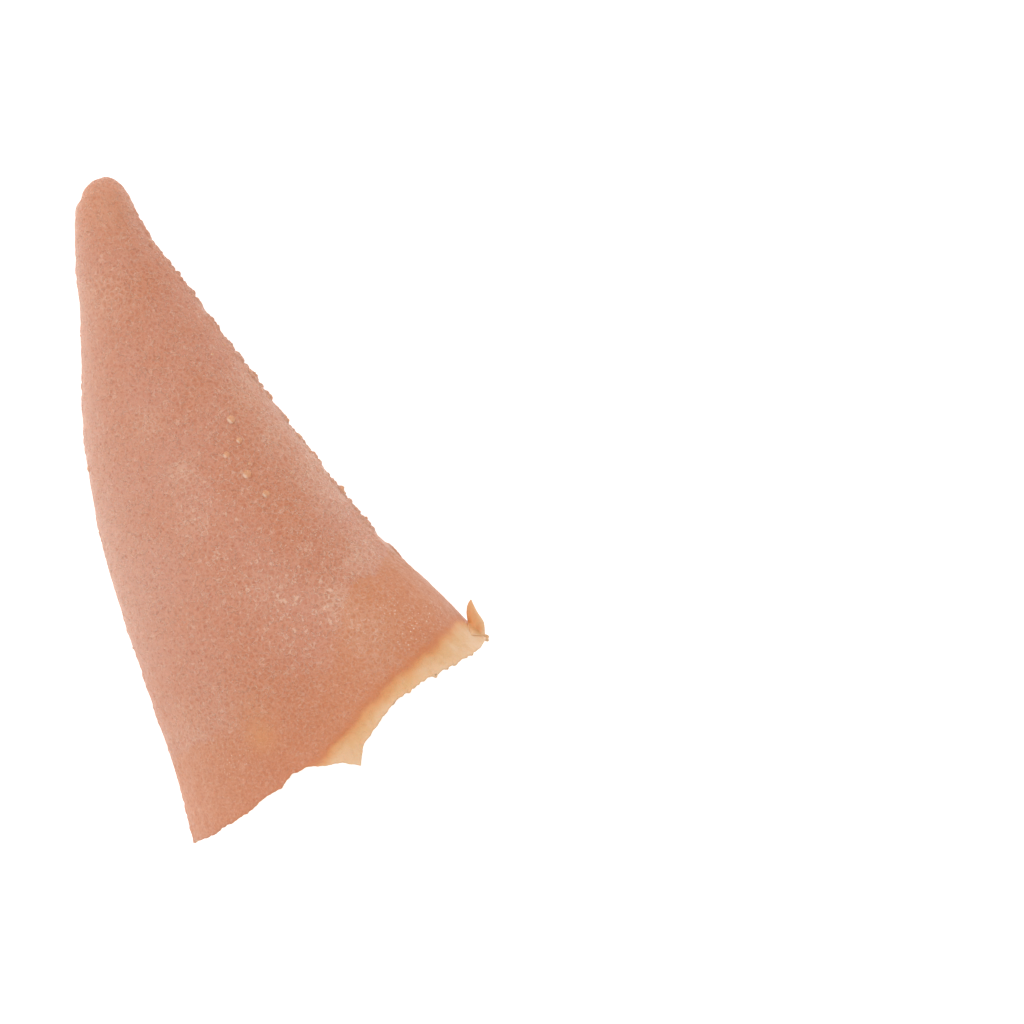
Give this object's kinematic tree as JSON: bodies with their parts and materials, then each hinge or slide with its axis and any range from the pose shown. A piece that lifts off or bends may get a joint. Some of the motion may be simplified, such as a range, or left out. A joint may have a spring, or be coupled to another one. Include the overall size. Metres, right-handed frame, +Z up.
{
  "type": "costume nose",
  "caption": "Long hooked costume nose cast in thin flesh-coloured latex, a hollow tapering shell open at the face, with a torn edge of flashing.",
  "frame": {"origin": "middle of the footprint, on the surface that the nose lies on", "axes": "+X from the open face end to the tip, +Y towards the bridge, +Z up, out of the shown flank"},
  "size_m": [0.1092, 0.0636, 0.0448],
  "materials": {
    "painted_latex": "matt, powdered flesh paint over cream latex, with fine pores"
  },
  "bodies": {
    "root": {"nose_shell": "painted_latex"}
  },
  "joints": []
}
